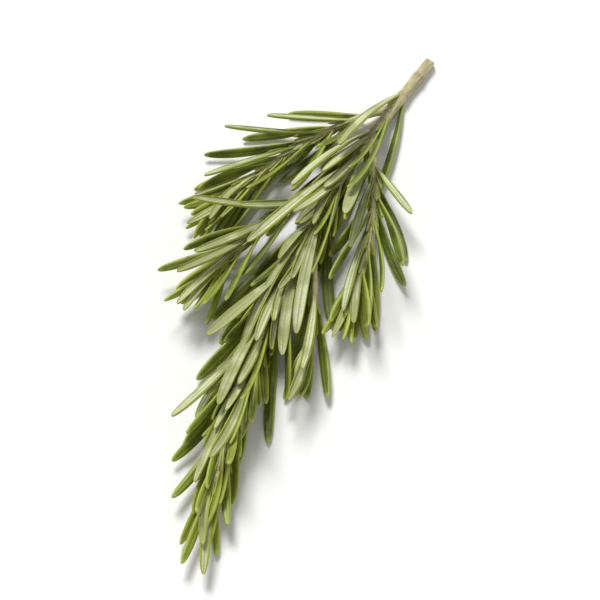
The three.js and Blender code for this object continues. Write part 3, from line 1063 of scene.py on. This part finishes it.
def laid_leaf(leaf, model, outline, youth):
    """A copy of a straight leaf, bent along the path that a leaf grew, and cupped and waved in its way."""
    piece = copy_of(model, "leaf")
    at = coordinates(piece.data)
    along = at[:, 1]
    edge = width_share(outline, along)
    cup, wave, lift = between(CUP), between(WAVE), between(LIFT_AT_TIP)
    across = at[:, 0] * leaf.width / 2 + wave * np.sin(pi * along) * leaf.length / LEAF_LENGTH
    up = at[:, 2] * leaf.thickness - cup * leaf.width * at[:, 0] ** 2
    up += lift * along**3 * leaf.length / LEAF_LENGTH
    piece.data.vertices.foreach_set("co", lay_along(leaf.path, along, across, up).ravel())
    aside = at[:, 0] / np.maximum(edge, NARROWEST)
    write_attribute(piece, "blade", aside, along * leaf.length, between(TONES))
    write_attribute(piece, "life", youth, (1 - along) * leaf.length, 0)
    return piece


RIDGES = 4  # low ridges that run down from the leaves
RIDGE = 0.05  # their height, against the radius
SLANT_ENDS = 2  # millimetres from the cut
RING = (0.15, 0.7)  # millimetres from a pair to the middle of its brown ring, and half the ring's width
SHOOT_YOUTH = (0.45, 0.95)  # of a side shoot's foot and tip, where the main stem's youth goes from 0 to 1


def laid_stem(shoot, stem):
    at = coordinates(stem.data)
    along = at[:, 1]
    angle = np.arctan2(at[:, 0], at[:, 2])
    plain = np.array([radius_at(shoot, y) for y in along])
    ridge = 1 + RIDGE * np.cos(RIDGES * (angle - shoot.first_bearing))
    across, up = at[:, 0] * ridge, at[:, 2] * ridge
    slant = CUT_SLANT * up * np.clip(1 - along / SLANT_ENDS, 0, 1) if shoot is main_stem else 0
    placed = lay_along(shoot.path, (along + slant) / shoot.length, across, up)
    stem.data.vertices.foreach_set("co", placed.ravel())
    youth = np.clip(mix((0, 1) if shoot is main_stem else SHOOT_YOUTH, along / shoot.length), 0, 1)
    ring = sum(np.clip(1 - np.abs(along - pair - RING[0]) / RING[1], 0, 1) for pair in stem_pairs(shoot))
    write_attribute(stem, "grain", angle * plain, along, 0)
    write_attribute(stem, "section", at[:, 0] / plain, at[:, 2] / plain, 0)
    write_attribute(stem, "life", youth, ring, 0)
    return stem


AXIL_BUDS = 3  # small leaves in each axil
BUD_FIRST = 0.7  # millimetres up the stem from the big leaf
BUD_STEP = 0.4
BUD_ASIDE = (-34, 34)
BUD_SPLAY = (10, 30)
BUD_LENGTH = (3.2, 8)
BUD_BEND = (-4, 18)
BUD_SWAY = (-16, 16)
BUD_TWIST = (-24, 24)
BUD_WIDTH = (0.5, 0.12)  # a part that all have, and what each millimetre of length adds
BUD_THICKNESS = 0.5
BUD_YOUTH = (0.6, 1)
TIP_PAIRS = 6  # pairs of small leaves that close over the growing tip
TIP_STEP = 0.5
TIP_SPLAY = (16, 3)  # of the outermost and innermost pair
TIP_LENGTH = (10, 4)


def bud_rule(at, bearing, splay, length):
    return SimpleNamespace(
        at=at,
        bearing=bearing,
        splay=radians(splay),
        length=length,
        width=BUD_WIDTH[0] + BUD_WIDTH[1] * length,
        bend=radians(between(BUD_BEND)),
        sway=radians(between(BUD_SWAY)),
        twist=radians(between(BUD_TWIST)),
    )


def bud_rules(shoot):
    """The smallest leaves of a shoot: a few in each axil, and the ones that close over its tip."""
    rules = []
    scale = (1 + shoot.leaf_share) / 2
    for leaf in shoot.leaves:
        for i in range(AXIL_BUDS):
            at = min(leaf.at + BUD_FIRST + BUD_STEP * i, shoot.length)
            bearing = leaf.bearing + radians(between(BUD_ASIDE))
            rules.append(bud_rule(at, bearing, between(BUD_SPLAY), between(BUD_LENGTH) * scale))
    for i in range(TIP_PAIRS):
        inner = i / (TIP_PAIRS - 1)
        for side in (0, pi):
            at = shoot.length - TIP_STEP * (TIP_PAIRS - i)
            bearing = shoot.first_bearing + side + i * pi / 2
            rules.append(bud_rule(at, bearing, mix(TIP_SPLAY, inner), mix(TIP_LENGTH, inner) * scale))
    return rules


def bud_leaves(shoot):
    pieces = []
    for rule in bud_rules(shoot):
        leaf = place_leaf(shoot, rule, rule.bearing, rule.splay)
        leaf.thickness = BUD_THICKNESS
        pieces.append(laid_leaf(leaf, bud_leaf, BUD_LEAF, between(BUD_YOUTH)))
    return joined(pieces, f"{shoot.name}_bud_leaves")


HAIR_ROWS = ((0.5, 0.75), (0.5, 0.25))  # how far each row rises, and its thickness against the row below


def straight_hair():
    """A hair along Z from 0 to 1, with a radius of 1 at its root."""
    deselect_all()
    bpy.ops.mesh.primitive_circle_add(vertices=3, fill_type="NGON")
    hair = bpy.context.object
    hair.name = "hair"
    edit(hair)
    bpy.ops.mesh.select_all(action="SELECT")
    for rise, narrower in HAIR_ROWS:
        bpy.ops.mesh.extrude_region_move(TRANSFORM_OT_translate={"value": (0, 0, rise)})
        bpy.ops.transform.resize(value=(narrower, narrower, 1), center_override=(0, 0, 0))
    close_edit(hair)
    hair.data.materials.append(DOWN)
    return hair


HAIR_LENGTH = (0.22, 0.5)
HAIR_RADIUS = 0.022  # 0.01 in life, drawn as coarse as it needs to show
HAIR_LEAN = (-0.2, 0.9)  # towards the stem's tip
HAIRS_PER_MM = 16
ROOTED = 0.93  # share of the stem's radius at which a hair starts
TO_TIP = 0.6  # below 1, hairs crowd towards the tip of the main stem


def stem_down(shoot):
    """Short white hairs on the young part of a stem."""
    hair = straight_hair()
    pieces = []
    for _ in range(round(HAIRS_PER_MM * shoot.length)):
        at = mix((shoot.bare, shoot.length), dice.random() ** (TO_TIP if shoot is main_stem else 1))
        here = station_at(shoot.path, at / shoot.length)
        outward = turned(here.face, here.across, between((-pi, pi)))
        rise = unit(add(outward, here.heading, between(HAIR_LEAN)))
        side = square(here.heading, rise)
        third = cross(rise, side)
        length = between(HAIR_LENGTH)
        root = np.array(add(here.point, outward, ROOTED * radius_at(shoot, at)))
        piece = copy_of(hair, "hair")
        grown = coordinates(piece.data) * (HAIR_RADIUS, HAIR_RADIUS, length)
        places = root + grown @ np.array((side, third, rise))
        piece.data.vertices.foreach_set("co", np.clip(places * MM + START, LOW, HIGH).ravel())
        pieces.append(piece)
    bpy.data.objects.remove(hair)
    return joined(pieces, f"{shoot.name}_down")


def stand_for(piece, shoot):
    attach(piece, "root")
    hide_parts(shoot.name)


# The first rows of the main stem, which is cut, and of a side shoot, whose foot runs into the main stem.
CUT_ROWS = [(0, 1)]
FOOT_ROWS = [(-4, 1.5), (-2, 1.35), (-0.6, 1.12), (1, 1)]
MAIN_SIDES = 16
SHOOT_SIDES = 12
YOUNG_REACH = (0.55, 1)  # shares of the way up a stem, where its leaves get younger
YOUNG_BY_PLACE = 0.7
YOUNG_BY_SIZE = 0.3  # added to a short leaf's youth
NARROW_THICKNESS = 0.8  # share of the full thickness that the narrowest leaf would keep

for shoot in shoots:
    leaves = []
    for leaf in shoot.leaves:
        youth = YOUNG_BY_PLACE * smooth(YOUNG_REACH, leaf.up_stem)
        youth += YOUNG_BY_SIZE if leaf.length < SLIM_FROM else 0
        leaf.thickness = LEAF_THICKNESS * mix((NARROW_THICKNESS, 1), leaf.width / LEAF_WIDTH)
        leaves.append(laid_leaf(leaf, *model_for(leaf), youth))
    stand_for(joined(leaves, f"{shoot.name}_leaves"), shoot)
    sides = MAIN_SIDES if shoot is main_stem else SHOOT_SIDES
    foot_rows = CUT_ROWS if shoot is main_stem else FOOT_ROWS
    stem = straight_stem(shoot, f"{shoot.name}_bark", sides, foot_rows)
    rounded(stem)
    stand_for(laid_stem(shoot, stem), shoot)
    stand_for(bud_leaves(shoot), shoot)
    stand_for(stem_down(shoot), shoot)

for model in (broad_leaf, rolled_leaf, slim_leaf, young_leaf, bud_leaf):
    bpy.data.objects.remove(model)

# ------------ the surface, the light and the camera

SURFACE_SIZE = 6  # metres
SURFACE_BELOW = 0.05 * MM

centre = (LOW + HIGH) / 2


def surface():
    deselect_all()
    bpy.ops.mesh.primitive_plane_add(size=SURFACE_SIZE, location=(0, 0, -SURFACE_BELOW))
    floor_piece = bpy.context.object
    floor_piece.name = "pale_surface"
    material, shader = new_material("matt_white_card")
    feed(material, shader, {"Base Color": "#f2f2f0", "Roughness": 0.9})
    floor_piece.data.materials.append(material)


def aim(thing, target):
    thing.rotation_euler = (Vector(target) - thing.location).to_track_quat("-Z", "Y").to_euler()


def soft_light(name, place, spread, strength):
    """Light from one side that is as strong all over the surface; a wider spread has softer shadows."""
    lamp = bpy.data.lights.new(name, "SUN")
    lamp.angle = radians(spread)
    lamp.energy = strength
    thing = bpy.data.objects.new(name, lamp)
    bpy.context.scene.collection.objects.link(thing)
    thing.location = place
    aim(thing, centre)


AZIMUTH = radians(22)
ELEVATION = radians(61.5)
LENS = 135
SENSOR = 36
FRAME_WIDTH = 0.134  # metres across the view, at the sprig
FARTHEST = 20  # metres

back = Vector((sin(AZIMUTH) * cos(ELEVATION), -cos(AZIMUTH) * cos(ELEVATION), sin(ELEVATION)))
right = Vector((cos(AZIMUTH), sin(AZIMUTH), 0))
upward = back.cross(right)
whole = np.concatenate([coordinates(piece.data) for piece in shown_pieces()])


def middle_along(axis):
    spread = whole @ np.array(axis)
    return (spread.min() + spread.max()) / 2


target = right * middle_along(right) + upward * middle_along(upward) + back * middle_along(back)
eye = bpy.data.cameras.new("camera")
eye.lens = LENS
eye.sensor_width = SENSOR
eye.clip_end = FARTHEST
camera = bpy.data.objects.new("camera", eye)
bpy.context.scene.collection.objects.link(camera)
camera.location = target + back * FRAME_WIDTH * LENS / SENSOR
aim(camera, target)
bpy.context.scene.camera = camera

surface()
soft_light("window", place=(-0.5, 0.6, 0.95), spread=24, strength=3.2)
soft_light("fill", place=(0.8, -0.5, 0.7), spread=60, strength=0.25)

# The studio's walls are pale near the surface and darker overhead.
WALL_TOP = 0.45  # the height of a line of sight, from 0 along the surface to 1 straight up
WALL_STRENGTH = (1.02, 0.32)

world = bpy.data.worlds.new("studio")
world.use_nodes = True
looking = node(world, "ShaderNodeTexCoord").outputs["Generated"]
height = node(world, "ShaderNodeSeparateXYZ", {0: looking}).outputs["Z"]
walls = node(
    world,
    "ShaderNodeMapRange",
    {"Value": height, "From Max": WALL_TOP, "To Min": WALL_STRENGTH[0], "To Max": WALL_STRENGTH[1]},
    interpolation_type="SMOOTHSTEP",
)
feed(world, world.node_tree.nodes["Background"], {"Color": (1, 1, 1, 1), "Strength": walls})
bpy.context.scene.world = world
bpy.context.scene.view_settings.view_transform = "Standard"
